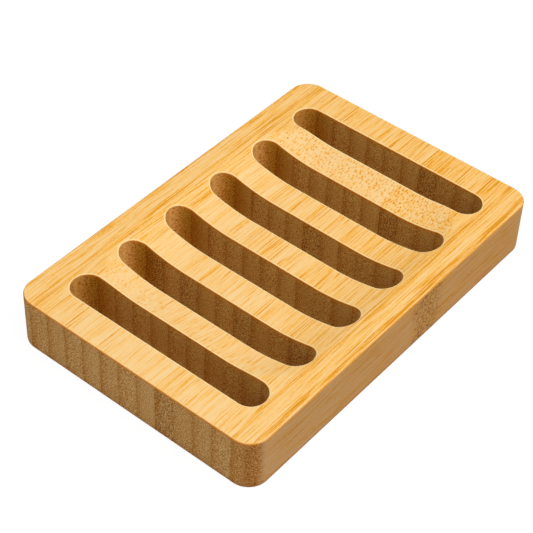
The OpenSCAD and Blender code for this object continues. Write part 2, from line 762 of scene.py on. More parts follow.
    def stained(self, tree: GroupBuilder, colour: Socket) -> Socket:
        """Tints the slots' walls, and paints shade into slot ends and along the sides' foot.

        Args:
            tree: The group that is built.
            colour: The wood's colour.

        Returns:
            The tinted colour's socket.
        """
        given, facing = tree.given, tree.given["Facing"]
        tint = tree.blend(facing, paint(*self.tip), paint(*self.wall))
        stain = tree.blend(facing, paint(*self.singed_shade), paint(*self.scorch_shade))
        # Near the slots' left ends: partly charred wood, partly painted shade with warm bounced light.
        scorch_and_shade = tree.product(given["Scorch"], tree.scaled(facing, 0.45, 0.55))
        tint = tree.blend(scorch_and_shade, tint, stain, "MULTIPLY")
        colour = tree.blend(tree.product(given["Wall"], 0.95), colour, tint, "MULTIPLY")
        # Painted shade on the round ends of the first and last slot, the deepest ones.
        colour = tree.coat(colour, given["Deep End"], 1.0, self.end_shade, "MULTIPLY")
        # Painted contact shade along the foot of the sides.
        return tree.coat(colour, given["Low"], 0.35, self.foot, "MULTIPLY")

    def edged(self, tree: GroupBuilder, colour: Socket) -> Socket:
        """Draws the pale and dark lines along the edges, with their painted highlight and shade.

        Args:
            tree: The group that is built.
            colour: The wood's colour.

        Returns:
            The colour's socket, with the lines.
        """
        given = tree.given
        # Pale line: partly worn, partly painted highlight. Dark line: partly charred, partly painted
        # shade.
        colour = tree.coat(colour, given["Pale"], 0.9, self.rubbed_and_lit)
        burnt_and_shaded = tree.product(given["Burnt"], tree.scaled(given["Facing"], 0.6, 0.35))
        colour = tree.coat(colour, burnt_and_shaded, 1.0, self.burnt_and_shaded)
        return tree.coat(colour, given["Rim"], 0.85, self.rim)

    def group(self) -> bpy.types.NodeTree:
        """Builds the shared group.

        Returns:
            A group that takes the masks, from 0 to 1, and gives the colour, the roughness and the
            height of the surface in millimetres.
        """
        tree = GroupBuilder(
            "Bamboo tone",
            {name: "value" for name in self.MASKS},
            {"Color": "colour", "Roughness": "value", "Height": "value"},
        )
        given = tree.given
        grain = self.grain(tree)
        colour = tree.blend(given["Cut"], self.along(tree, grain), self.across(tree))
        colour = self.edged(tree, self.stained(tree, colour))
        roughness = tree.scaled(given["Cut"], 0.14, tree.scaled(grain, 0.1, 0.5))
        height = tree.scaled(given["Fibres"], -0.012, tree.product(given["Fine"], -0.008))
        return tree.finish(Color=colour, Roughness=roughness, Height=height)


@dataclass(frozen=True)
class Effects:
    """The shared node groups that every strip's finish is put together from.

    Attributes:
        fibres: The pattern of the fibres.
        joint: One stretch of a stem's joint.
        bundle: One bundle of darker or paler fibres.
        shade: The strip's density and its glue lines.
        wear_and_light: The worn and charred edge lines, with painted highlight and painted shade.
        tone: The colours.
    """

    fibres: bpy.types.NodeTree
    joint: bpy.types.NodeTree
    bundle: bpy.types.NodeTree
    shade: bpy.types.NodeTree
    wear_and_light: bpy.types.NodeTree
    tone: bpy.types.NodeTree

    @classmethod
    def build(cls) -> "Effects":
        """Builds each group once."""
        makers = (Fibres(), CULM_JOINT, STREAK_BUNDLE, StripShade(), EdgeWearAndLight(), BambooTone())
        return cls(*(maker.group() for maker in makers))


@dataclass(frozen=True)
class Faces:
    """Masks of the ways in which the surface faces, each from 0 to 1.

    Attributes:
        upright: Upright faces.
        slope: The basin's slopes that cut the fibres at a low angle.
        level: Level tops.
        wall: The slots' walls, from a little below the edge.
        facing: Faces square to the fibres.
        cut: Upright faces that cut the fibres across.
        corner: Outer faces that turn away from the end.
        away: Faces that look to the board's far end.
    """

    upright: Socket
    slope: Socket
    level: Socket
    wall: Socket
    facing: Socket
    cut: Socket
    corner: Socket
    away: Socket

    @classmethod
    def wire(cls, tree: Wiring, x: Socket, normal: Socket, slot_run: Socket) -> "Faces":
        """Wires the masks up in a material.

        Args:
            tree: The material's tree.
            x: The place along X, in millimetres.
            normal: The surface's normal.
            slot_run: The run from the nearest slot's edge, in millimetres.

        Returns:
            The masks.
        """
        _, along, up = tree.split(normal)
        endwise = tree.math("ABSOLUTE", along)
        upright = tree.ramp(tree.math("ABSOLUTE", up), 0.7, 0.2)
        far_slope = tree.product(tree.ramp(along, 0.06, 0.3, 0.0, 0.6), tree.ramp(x, -4.0, -14.0, 0.1))
        slope = tree.math("ADD", tree.ramp(along, -0.06, -0.22), far_slope)
        wall = tree.ramp(slot_run, -0.15, -0.7)
        start = tree.scaled(wall, -0.27, 0.12)
        return cls(
            upright=upright,
            slope=slope,
            level=tree.product(tree.rest(upright), tree.rest(slope, clamp=True)),
            wall=wall,
            facing=tree.ramp(endwise, 0.3, 0.95),
            cut=tree.product(tree.ramp(endwise, start, tree.math("ADD", start, 0.45)), upright),
            corner=tree.product(tree.ramp(endwise, 1.0, 0.8), tree.rest(wall)),
            away=tree.ramp(along, 0.1, 0.4),
        )


@dataclass(frozen=True)
class BambooFinish:
    """One strip's sanded and oiled bamboo.

    Attributes:
        stock: Which of the two shades the strip is cut from; not used.
        seed: Which part of the endless fibre pattern the strip shows.
        shade: How much darker (or with a minus sign paler) the strip is than the others.
        left_glue: How strongly the glue line on its left shows, from 0 to 1.
        right_glue: How strongly the glue line on its right shows, from 0 to 1.
        drift: How much darker the strip gets from its middle to its far end.
        ends: How much darker it is over its last few millimetres, at both ends.
        cut_shade: How much darker its cut ends and slot walls are than the others'.
        planed: How much of the strip's dense outer side was planed off, in millimetres.
        joints: Where the stem's joints lie along Y, in millimetres, with half the length of each.
        bold: Where the cut fibres look bolder, given in the same way.
        bundles: Where darker bundles of fibres lie along X, in millimetres, with half the width of
            each and how dark it is; a minus sign makes a pale one.
        held_at: Height at which the pattern of the level tops is held, in millimetres.
        held: How firmly it is held there, from 0 to 1.
        sheen: Strength of the oil's mirror-like light.
        relief: How strongly the heights of the fibres tilt the light.
    """

    stock: Stock
    seed: int
    shade: float = 0.0
    left_glue: float = 0.35
    right_glue: float = 0.1
    drift: float = 0.0
    ends: float = 0.0
    cut_shade: float = 0.0
    planed: float = 0.0
    joints: tuple[Spot, ...] = ()
    bold: tuple[Spot, ...] = ()
    bundles: tuple[Triple, ...] = ()
    held_at: float = 14.5
    held: float = 0.85
    sheen: float = 0.03
    relief: float = 0.25

    def shift(self) -> Triple:
        """Returns how far the strip's part of the pattern lies from the origin, in millimetres."""
        return (37.3 * self.seed, 211.7 * self.seed, 53.9 * self.seed)

    def stretches(
        self, tree: Wiring, group: bpy.types.NodeTree, place: Socket, spots: tuple[Spot, ...]
    ) -> Value:
        """Marks stretches along Y.

        Args:
            tree: The material's tree.
            group: The shared group of one stretch.
            place: The shifted place.
            spots: The middle and half the length of each stretch.

        Returns:
            One mask of them all.
        """
        mask: Value = 0.0
        for spot, reach in spots:
            node = tree.place(group, Vector=place, Place=spot + self.shift()[1], Reach=reach)
            mask = tree.math("MAXIMUM", mask, node.outputs["Mask"])
        return mask

    def streaks(self, tree: Wiring, group: bpy.types.NodeTree, place: Socket) -> Value:
        """Adds up the bundles of darker and paler fibres.

        Args:
            tree: The material's tree.
            group: The shared group of one bundle.
            place: The shifted place.

        Returns:
            How much darker they make each place.
        """
        total: Value = 0.0
        for spot, reach, depth in self.bundles:
            node = tree.place(group, Vector=place, Place=spot + self.shift()[0], Reach=reach)
            total = tree.scaled(node.outputs["Mask"], depth, total)
        return total

    def length_tone(self, tree: Wiring, y: Socket) -> Socket:
        """Works out how much darker the strip is at each place along it.

        Args:
            tree: The material's tree.
            y: The place along Y, in millimetres.

        Returns:
            The tone's socket.
        """
        tone = tree.scaled(y, self.drift / 60, self.shade)
        tone = tree.math("ADD", tone, tree.ramp(y, 46.0, 55.0, 0.0, 0.05))
        if self.ends:
            both = tree.ramp(tree.math("ABSOLUTE", y), 47.0, 54.0, 0.0, self.ends)
            tone = tree.math("ADD", tone, both)
        return tone

    def run(self, tree: Wiring, label: str) -> Socket:
        """Returns one of the mesh's two runs in millimetres, by its attribute's name."""
        attribute = tree.add("ShaderNodeAttribute", attribute_type="GEOMETRY", attribute_name=label)
        return tree.math("DIVIDE", attribute.outputs["Fac"], MM)

    def material(self, name: str, effects: Effects, left: float, right: float) -> bpy.types.Material:
        """Builds the strip's material.

        On level tops the pattern is held at nearly one height, so that a small fall of the basin
        doesn't break its streaks up.

        Args:
            name: The material's name.
            effects: The shared node groups.
            left: The strip's left face along X.
            right: The strip's right face along X.

        Returns:
            The material.
        """
        material = bpy.data.materials.new(name)
        material.use_nodes = True
        tree = Wiring(material.node_tree)
        coordinates = tree.add("ShaderNodeTexCoord")
        place = tree.vector("SCALE", coordinates.outputs["Object"], 1 / MM)
        x, y, z = tree.split(place)
        mapping = tree.add("ShaderNodeMapping")
        tree.feed(mapping.inputs["Vector"], place)
        tree.feed(mapping.inputs["Location"], self.shift())
        shifted = mapping.outputs[0]
        slot_run, rim_run = self.run(tree, "slot_run"), self.run(tree, "rim_run")
        faces = Faces.wire(tree, x, coordinates.outputs["Normal"], slot_run)

        joint = tree.product(self.stretches(tree, effects.joint, shifted, self.joints), faces.upright)
        shade = tree.place(
            effects.shade, Vector=shifted, Left=left / MM + self.shift()[0], Width=(right - left) / MM
        ).outputs
        thick = tree.math("ADD", tree.scaled(shade["Density"], 0.45, 0.55), tree.product(joint, 0.2))
        sunk = tree.math("SUBTRACT", z, self.held_at)
        sunk = tree.product(sunk, tree.product(faces.level, self.held))
        pattern = tree.place(
            effects.fibres,
            Vector=tree.vector("SUBTRACT", shifted, tree.gather(0.0, 0.0, sunk)),
            Density=thick,
            Tangle=joint,
            Cut=tree.ramp(faces.cut, 0.0, 0.2),
        ).outputs
        wear_and_light = tree.place(
            effects.wear_and_light, Vector=place, Slot_Run=slot_run, Rim_Run=rim_run, Away=faces.away
        ).outputs
        glue = tree.math(
            "MAXIMUM",
            tree.product(shade["Left Glue"], self.left_glue),
            tree.product(shade["Right Glue"], self.right_glue),
        )
        right_side, near_end = self.worn_sides(tree, coordinates.outputs["Normal"])
        first_and_last = tree.ramp(tree.math("ABSOLUTE", y), 37.0, 42.0)
        tone = tree.place(
            effects.tone,
            **{output.name: output for output in pattern},
            Density=shade["Density"],
            Glue=glue,
            Joint=joint,
            Bold=self.stretches(tree, effects.joint, shifted, self.bold),
            Bundle=self.streaks(tree, effects.bundle, shifted),
            Shade=self.length_tone(tree, y),
            Cut_Shade=self.cut_shade,
            Upright=faces.upright,
            Slope=faces.slope,
            Cut=faces.cut,
            Facing=faces.facing,
            # Painted shade on end faces turning into the corners.
            Corner=faces.corner,
            Wall=faces.wall,
            # Near the slots' left ends: partly charred, partly painted shade.
            Scorch=tree.product(tree.ramp(x, -20.0, -27.0), faces.cut),
            # Painted shade on the deepest slots' round ends.
            Deep_End=tree.product(tree.product(faces.wall, first_and_last), tree.rest(faces.facing)),
            # Painted contact shade near the underside.
            Low=tree.ramp(z, 2.2, 0.2),
            # Edge lines: partly worn and charred, partly painted highlight and painted shade.
            Pale=wear_and_light["Pale"],
            Burnt=wear_and_light["Burnt"],
            Rim=tree.product(wear_and_light["Rim"], tree.math("MAXIMUM", right_side, near_end)),
        ).outputs
        self.shader(tree, tone)
        return material

    def worn_sides(self, tree: Wiring, normal: Socket) -> tuple[Socket, Socket]:
        """Returns how strongly the outer edge is charred on the right side and at the near end."""
        across, along, _ = tree.split(normal)
        return tree.ramp(across, 0.1, 0.6, 0.2, 0.65), tree.ramp(along, -0.1, -0.6, 0.2)

    def shader(self, tree: Wiring, tone: bpy.types.NodeOutputs) -> None:
        """Puts the satin shader at the end of the material.

        Args:
            tree: The material's tree.
            tone: The outputs of the shared tone group.
        """
        bump = tree.add("ShaderNodeBump")
        bump.inputs["Strength"].default_value = self.relief
        bump.inputs["Distance"].default_value = MM
        tree.feed(bump.inputs["Height"], tone["Height"])
        shader = tree.add("ShaderNodeBsdfPrincipled")
        shader.inputs["Specular IOR Level"].default_value = self.sheen
        tree.feed(shader.inputs["Base Color"], tone["Color"])
        tree.feed(shader.inputs["Roughness"], tone["Roughness"])
        tree.feed(shader.inputs["Normal"], bump.outputs["Normal"])
        tree.feed(tree.add("ShaderNodeOutputMaterial").inputs["Surface"], shader.outputs["BSDF"])


@dataclass(frozen=True)
class SoapBasin:
    """The shallow hollow under the soap: a flat floor with sides that rise on one radius.

    Attributes:
        depth: Depth of the flat floor below the rim.
        width: Width at the rim, along X.
        length: Length at the rim, along Y.
        side_radius: Radius of the rising sides.
        rim_blend: Depth over which sanding has softened the rim.
    """

    depth: float = 0.0037
    width: float = 0.066
    length: float = 0.088
    side_radius: float = 0.050
    rim_blend: float = 0.0007

    def fall(self, x: Array, y: Array) -> Array:
        """Works out how far the basin lies below the board's top.

        With r the distance from the flat floor's rectangle and R the side's radius, the depth is
        depth - (R - sqrt(R^2 - r^2)). Within the blend b of nought it becomes the parabola
        (depth + b)^2 / 4b, and outside the rim it is nought.

        Args:
            x: Places along X.
            y: Places along Y.

        Returns:
            The depth at each place.
        """
        reach = math.sqrt(2 * self.side_radius * self.depth - self.depth**2)
        aside = np.maximum(np.abs(x) - (self.width / 2 - reach), 0)
        along = np.maximum(np.abs(y) - (self.length / 2 - reach), 0)
        distance = np.minimum(np.hypot(aside, along), 0.999 * self.side_radius)
        depth = self.depth - (self.side_radius - np.sqrt(self.side_radius**2 - distance**2))
        b = self.rim_blend
        soft = (depth + b) ** 2 / (4 * b)
        return np.where(depth > b, depth, np.where(depth < -b, 0, soft))


@dataclass(frozen=True)
class DrainSlots:
    """The row of long slots with round ends, cut right through the board.

    Attributes:
        count: Number of slots.
        length: Length over the round ends, along X.
        width: Width of a slot.
        pitch: Distance from slot to slot.
        edge: Radius that sanding has left on the slots' edges.
        end_steps: Steps round an eighth of the outline, four to a round end.
        line_step: Longest step along the straight part.
    """

    count: int = 6
    length: float = 0.0638
    width: float = 0.009
    pitch: float = 0.01835
    edge: float = 0.0004
    end_steps: int = 18
    line_step: float = 0.0008

    def middles(self) -> Array:
        """Returns the place of each slot along Y."""
        return self.pitch * (np.arange(self.count) - (self.count - 1) / 2)

    def half_line(self) -> float:
        """Returns half the length of the straight part."""
        return (self.length - self.width) / 2

    def run(self, x: Array, y: Array) -> Array:
        """Works out how far each place lies outside the nearest slot's edge.

        That is its distance from the straight line between the slot's two round ends' middles,
        less half the slot's width.

        Args:
            x: Places along X.
            y: Places along Y.

        Returns:
            The distance at each place, with a minus sign inside a slot.
        """
        beyond = np.maximum(np.abs(x) - self.half_line(), 0)
        near = np.min(np.abs(y[..., None] - self.middles()), axis=-1)
        return np.hypot(beyond, near) - self.width / 2


@dataclass
class Grid:
    """A closed band of surface: rows of points, each row joined end to start.

    Attributes:
        points: Rows by columns by three coordinates.
        slot_run: Run from the nearest slot edge, over the top above nought and down the wall below.
        rim_run: Run from the board's outer top edge, counted in the same way.
    """

    points: Array
    slot_run: Array
    rim_run: Array

    def quads(self) -> NDArray[np.int64]:
        """Joins each row of points to the next one with four-sided faces.

        Returns:
            The point numbers of each face, row by row.
        """
        rows, columns = self.points.shape[:2]
        number = np.arange(rows * columns).reshape(rows, columns)
        after = np.roll(number, -1, axis=1)
        return np.stack([number[:-1], after[:-1], after[1:], number[1:]], axis=-1).reshape(-1, 4)


@dataclass(frozen=True)
class Board:
    """The milled board before it is divided into strips.

    Attributes:
        length: Length along Y.
        width: Width along X.
        height: Height.
        corner: Radius of the upright corners.
        top_edge: Radius of the outer top edge.
        bottom_edge: Radius of the outer bottom edge.
        basin: The soap basin.
        slots: The drain slots.
        top_rows: Rows of points across the top, towards a slot.
        edge_rows: Rows round a slot's eased edge.
        wall_rows: Rows down a slot's wall.
        corner_steps: Steps round an upright corner.
        rail_rows: Rows of points across the solid frame, outside the slots' rectangles.
        round_steps: Steps round the radius of an outer edge.
        side_steps: Steps down the outer side.
    """

    length: float = 0.120
    width: float = 0.080
    height: float = 0.0167
    corner: float = 0.006
    top_edge: float = 0.0004
    bottom_edge: float = 0.0009
    basin: SoapBasin = field(default_factory=SoapBasin)
    slots: DrainSlots = field(default_factory=DrainSlots)
    top_rows: int = 12
    edge_rows: int = 7
    wall_rows: int = 6
    corner_steps: int = 32
    rail_rows: int = 5
    round_steps: int = 8
    side_steps: int = 8

    def top(self, x: Array, y: Array) -> Array:
        """Returns the height of the top surface, basin and all."""
        return self.height - self.basin.fall(x, y)

    def inset(self, x: Array, y: Array) -> Array:
        """Works out how far each place lies inside the board's outline, round corners and all.

        Args:
            x: Places along X.
            y: Places along Y.

        Returns:
            The distance at each place.
        """
        across = np.abs(x) - (self.width / 2 - self.corner)
        along = np.abs(y) - (self.length / 2 - self.corner)
        outside = np.hypot(np.maximum(across, 0), np.maximum(along, 0))
        return self.corner - outside - np.minimum(np.maximum(across, along), 0)

    def bay_limits(self) -> list[tuple[float, float]]:
        """Divides the board inside its outer frame into one rectangle for each slot.

        Returns:
            The lower and upper Y of each rectangle.
        """
        middles = self.slots.middles()
        between = (middles[1:] + middles[:-1]) / 2
        end = self.length / 2 - self.corner
        return list(zip([-end, *between], [*between, end]))

    def outline(self, low: float, high: float, glue: Array) -> tuple[Array, Array, Array]:
        """Samples a slot's outline together with the rectangle of board round it.

        The outline is a spine point plus a direction: the spine point walks along the straight
        part and stands still at the round ends while the direction turns. The reach is where a
        line along the direction meets the rectangle.

        Args:
            low: Distance from the slot's middle to the rectangle's lower side.
            high: Distance to its upper side.
            glue: Places of the glue lines along X, which are sampled exactly.

        Returns:
            Spine places along X, directions (two columns), and reaches.
        """
        half = self.slots.half_line()
        side = self.width / 2 - self.corner - half
        steps = self.slots.end_steps
        up, down = math.atan2(high, side), math.atan2(low, side)
        turn = np.concatenate([
            np.linspace(-math.pi / 2, -down, steps, endpoint=False),
            np.linspace(-down, 0, steps, endpoint=False),
            np.linspace(0, up, steps, endpoint=False),
            np.linspace(up, math.pi / 2, steps, endpoint=False),
        ])
        inner = glue[np.abs(glue) < half - 0.0002]
        stops = np.array([-half, *inner, half])
        line = np.concatenate([
            np.linspace(a, b, max(round((b - a) / self.slots.line_step), 1), endpoint=False)
            for a, b in zip(stops, stops[1:])
        ])
        back = np.array([half, *line[:0:-1]])
        left = math.pi - np.concatenate([[math.pi / 2], turn[:0:-1]])
        level = math.pi / 2
        angle = np.concatenate([turn, np.full(len(back), level), left, np.full(len(line), -level)])
        spine = np.concatenate([np.full(len(turn), half), back, np.full(len(left), -half), line])
        way = np.stack([np.cos(angle), np.sin(angle)], axis=-1)
        with np.errstate(divide="ignore"):
            reach_x = side / np.abs(way[:, 0])
            reach_y = np.where(way[:, 1] > 0, high, low) / np.abs(way[:, 1])
        return spine, way, np.minimum(reach_x, reach_y)

    def bay(self, middle: float, low: float, high: float, glue: Array) -> Grid:
        """Builds the board's surface round and inside one slot.

        A profile is carried round the slot: across the top towards the slot, over the eased edge
        (radius e, distance r + e(1 - sin t), fall e(1 - cos t)), down the wall, round the lower
        edge, and back across the underside.

        Args:
            middle: The slot's place along Y.
            low: The rectangle's lower side.
            high: The rectangle's upper side.
            glue: Places of the glue lines along X.

        Returns:
            The closed band of surface.
        """
        spine, way, reach = self.outline(middle - low, high - middle, glue)
        r, e = self.slots.width / 2, self.slots.edge
        tops, edges = self.top_rows, self.edge_rows
        flat = np.linspace(1, 0, tops + 1)[:-1, None]
        turn = np.linspace(0, math.pi / 2, edges)[:, None]
        eased = (edges, len(reach))
        away = np.concatenate([
            r + e + flat * (reach - r - e),
            np.broadcast_to(r + e * (1 - np.sin(turn)), eased),
        ])
        x = spine + away * way[:, 0]
        y = middle + away * way[:, 1]
        z = self.top(x, y)
        z[tops:] -= e * (1 - np.cos(turn))
        run = np.concatenate([
            (away - r - e)[:tops] + e * math.pi / 4,
            np.broadcast_to(e * (math.pi / 4 - turn), eased),
        ])
        upper = np.stack([x, y, z], axis=-1)
        drop = np.linspace(0, 1, self.wall_rows + 2)[1:-1, None]
        wall = np.repeat(upper[-1:], self.wall_rows, axis=0)
        wall[..., 2] = z[-1] + drop * (e - z[-1])
        wall_run = run[-1] - drop * (z[-1] - e)
        lower = upper[::-1].copy()
        lower[..., 2] = 0
        lower[:edges, :, 2] = e * (1 - np.sin(turn))
        lower = np.concatenate([lower[:edges], lower[edges::4], lower[-1:]])
        below = self.slots.run(lower[..., 0], lower[..., 1])
        lower_run = np.where(lower[..., 2] > 0, wall_run[-1], below)
        points = np.concatenate([upper, wall, lower])
        slot_run = np.concatenate([run, wall_run, lower_run])
        inset = self.inset(points[..., 0], points[..., 1])
        return Grid(points, slot_run, np.maximum(inset, self.corner))

    def border(self, glue: Array) -> Grid:
        """Builds the solid frame of board round the six bays, with its rounded outer wall.

        The profile (flat top, quarter round, upright wall, quarter round, flat underside) is
        carried round the rectangle of the bays: along its sides it moves straight out, and at
        its corners it turns a quarter circle.

        Args:
            glue: Places of the glue lines along X.

        Returns:
            The closed band of surface.
        """
        half_x, half_y = self.width / 2 - self.corner, self.length / 2 - self.corner
        sides: list[Array] = []
        for middle, (low, high) in zip(self.slots.middles(), self.bay_limits()):
            spine, direction, reach = self.outline(middle - low, high - middle, glue)
            middles = np.stack([spine, np.full_like(spine, middle)], axis=-1)
            sides.append(middles + reach[:, None] * direction)
        every = np.concatenate(sides)
        base, way = [], []
        fan = np.linspace(0, math.pi / 2, self.corner_steps + 1)[1:-1]
        for quarter in range(4):
            facing = quarter * math.pi / 2
            normal = np.array([math.cos(facing), math.sin(facing)]).round()
            far = half_x if quarter % 2 == 0 else half_y
            on = every[np.abs(every @ normal - far) < 1e-9]
            tangent = np.array([-normal[1], normal[0]])
            order = np.unique((on @ tangent).round(9))
            base.append(normal * far + order[:, None] * tangent)
            way.append(np.broadcast_to(normal, (len(order), 2)))
            angle = facing + fan
            base.append(np.broadcast_to(base[-1][-1], (len(fan), 2)))
            way.append(np.stack([np.cos(angle), np.sin(angle)], axis=-1))
        spot, direction = np.concatenate(base), np.concatenate(way)
        t, b, turn = self.top_edge, self.bottom_edge, np.linspace(0, math.pi / 2, self.round_steps + 1)
        flat = np.linspace(0, self.corner - t, self.rail_rows + 1)[:-1]
        climb = np.linspace(self.height - t, b, self.side_steps + 1)[1:-1]
        below = np.array([*flat[::-1][1:3], 0])
        out = np.concatenate([
            flat, self.corner - t + t * np.sin(turn), np.full(len(climb), self.corner),
            self.corner - b + b * np.cos(turn), below,
        ])
        high = np.concatenate([
            np.full(len(flat), self.height), self.height - t * (1 - np.cos(turn)), climb,
            b - b * np.sin(turn), np.zeros(len(below)),
        ])
        run = np.concatenate([self.corner - t - flat + t * math.pi / 4, t * (math.pi / 4 - turn)])
        foot = np.full(len(turn) + len(below), run[-1] - self.height)
        run = np.concatenate([run, run[-1] - (self.height - t - climb), foot])
        plan = spot + out[:, None, None] * direction
        z = np.broadcast_to(high[:, None], plan.shape[:2]).copy()
        inner = slice(0, len(flat) + 1)
        z[inner] -= self.basin.fall(plan[inner, :, 0], plan[inner, :, 1])
        points = np.concatenate([plan, z[..., None]], axis=-1)
        slot_run = self.slots.run(plan[..., 0], plan[..., 1])
        return Grid(points, slot_run, np.broadcast_to(run[:, None], z.shape))

    def skin(self, glue: Array) -> bmesh.types.BMesh:
        """Joins the bays and the border into the whole board's closed surface.

        Args:
            glue: Places of the glue lines along X.

        Returns:
            The surface, with the runs as vertex layers.
        """
        bays = zip(self.slots.middles(), self.bay_limits())
        grids = [self.bay(middle, low, high, glue) for middle, (low, high) in bays]
        grids.append(self.border(glue))
        points = np.concatenate([g.points.reshape(-1, 3) for g in grids])
        starts = np.cumsum([0] + [g.points.shape[0] * g.points.shape[1] for g in grids[:-1]])
        quads = np.concatenate([g.quads() + start for g, start in zip(grids, starts)])
        mesh = bpy.data.meshes.new("board_skin")
        mesh.from_pydata(points.tolist(), [], quads.tolist())
        for label in ("slot_run", "rim_run"):
            layer = mesh.attributes.new(label, "FLOAT", "POINT")
            values = np.concatenate([np.asarray(getattr(g, label)).reshape(-1) for g in grids])
            layer.data.foreach_set("value", values.astype(np.float32))
        skin = bmesh.new()
        skin.from_mesh(mesh)
        bpy.data.meshes.remove(mesh)
        bmesh.ops.remove_doubles(skin, verts=skin.verts[:], dist=1e-6)
        return skin


@dataclass(frozen=True)
class Lamination:
    """The strips that the board is glued up from, cut out of its skin at the glue lines.

    Attributes:
        board: The milled board.
        crease: Angle above which an edge stays crisp.
        stock_width: Width of an outer strip before the board's side was trimmed.
    """

    board: Board = field(default_factory=Board)
    crease: float = math.radians(35)
    stock_width: float = 0.0074

    def outer(self, place: float) -> bool:
        """Returns whether a strip's face is the board's own side and not a glue line."""
        return abs(place) > self.board.width / 2 - 1e-5

    def finishes(self) -> dict[str, BambooFinish]:
        """Lists the strips' finishes.

        Returns:
            Each finish by its CAD node's name.
        """
        light, dark = Stock.LIGHT, Stock.DARK
        return {
            "left_edge_strip": BambooFinish(
                light, 1, 0.18, right_glue=0.3, drift=0.06,
                bundles=((-39.2, 1.0, 0.12), (-36.6, 1.0, -0.12), (-34.7, 0.6, 0.12)),
            ),
            "strip_2": BambooFinish(dark, 2, 0.17, ends=0.04, cut_shade=0.1, bold=((-45.0, 7.5),)),
            "strip_3": BambooFinish(
                light, 3, -0.05, drift=0.11, ends=0.13, cut_shade=0.08, bold=((-22.0, 5.0),)
            ),
            "strip_4": BambooFinish(dark, 4, -0.04, drift=0.09, ends=0.06, cut_shade=0.03),
            "strip_5": BambooFinish(
                light, 5, -0.03, drift=0.1, ends=0.06, cut_shade=-0.02, bold=((-22.0, 4.0),)
            ),
            "strip_6": BambooFinish(dark, 6, 0.03, drift=0.12, cut_shade=0.04),
            "strip_7": BambooFinish(light, 7, drift=0.17, cut_shade=0.02, bold=((14.0, 4.0),)),
            "strip_8": BambooFinish(dark, 8, -0.02, drift=0.12, cut_shade=-0.03, bold=((-22.0, 4.0),)),
            "strip_9": BambooFinish(
                light, 9, 0.17, drift=0.14, ends=0.09, cut_shade=0.19,
                bold=((-60.0, 7.0), (32.0, 4.0), (51.0, 4.0)),
            ),
            "strip_10": BambooFinish(
                dark, 10, 0.11, left_glue=0.0, drift=0.13, cut_shade=0.16, planed=2.6
            ),
            "strip_11": BambooFinish(
                light, 11, 0.085, left_glue=0.18, drift=0.15, cut_shade=0.06, bold=((-22.0, 4.0),)
            ),
            "strip_12": BambooFinish(
                dark, 12, 0.13, left_glue=0.18, right_glue=0.3, drift=0.2, bundles=((32.8, 0.8, 0.2),)
            ),
            "right_edge_strip": BambooFinish(
                light, 13, 0.15, left_glue=0.18, drift=0.04, ends=-0.1, cut_shade=0.25,
                joints=((11.0, 8.0),), bundles=((38.6, 1.1, 0.5), (35.3, 1.2, -0.1)),
            ),
        }

    def stock_faces(self, finish: BambooFinish, left: float, right: float) -> tuple[float, float]:
        """Works out where a strip's faces lay before the board's sides were trimmed.

        Args:
            finish: The strip's finish.
            left: The finished strip's left face along X.
            right: Its right face.

        Returns:
            The two faces of the strip as it was glued in.
        """
        whole_left = min(left, right - self.stock_width) if self.outer(left) else left
        whole_right = max(right, left + self.stock_width) if self.outer(right) else right
        return whole_left - finish.planed * MM, whole_right

    def cut(self, skin: bmesh.types.BMesh, name: str, left: float, right: float) -> bpy.types.Object:
        """Cuts one strip out of the board's skin and closes its glued faces.

        Args:
            skin: The whole board's surface.
            name: The new piece's name.
            left: The strip's left face along X.
            right: The strip's right face along X.

        Returns:
            The strip as a closed mesh object.
        """
        part = skin.copy()
        for place, keep in ((left, 1.0), (right, -1.0)):
            if self.outer(place):
                continue
            bmesh.ops.bisect_plane(
                part, geom=part.verts[:] + part.edges[:] + part.faces[:], dist=2e-7,
                plane_co=(place, 0, 0), plane_no=(keep, 0, 0), clear_inner=True,
            )
            bmesh.ops.holes_fill(part, edges=[e for e in part.edges if e.is_boundary], sides=0)
        bmesh.ops.recalc_face_normals(part, faces=part.faces[:])
        for face in part.faces:
            face.smooth = True
        for edge in part.edges:
            edge.smooth = len(edge.link_faces) == 2 and edge.calc_face_angle(0) < self.crease
        open_edges = sum(1 for edge in part.edges if len(edge.link_faces) != 2)
        if open_edges:
            raise ValueError(f"{name} has {open_edges} open edges")
        mesh = bpy.data.meshes.new(name)
        part.to_mesh(mesh)
        part.free()
        piece = bpy.data.objects.new(name, mesh)
        bpy.context.scene.collection.objects.link(piece)
        return piece

    def build(self) -> None:
        """Builds, dresses and reports every strip."""
        effects = Effects.build()
        boxes = {node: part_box(node) for node in self.finishes()}
        glue = np.array([box[0].x for node, box in boxes.items() if node != "left_edge_strip"])
        skin = self.board.skin(glue)
        for node, finish in self.finishes().items():
            left, right = boxes[node][0].x, boxes[node][1].x
            piece = self.cut(skin, f"{node}_sanded", left, right)
            whole_left, whole_right = self.stock_faces(finish, left, right)
            bamboo = finish.material(f"bamboo_{node}", effects, whole_left, whole_right)
            piece.data.materials.append(bamboo)
            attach(piece, "root")
            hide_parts(node)
            faces, width = len(piece.data.polygons), (right - left) / MM
            log.info("%s: %d faces, %.2f mm wide", piece.name, faces, width)
        skin.free()


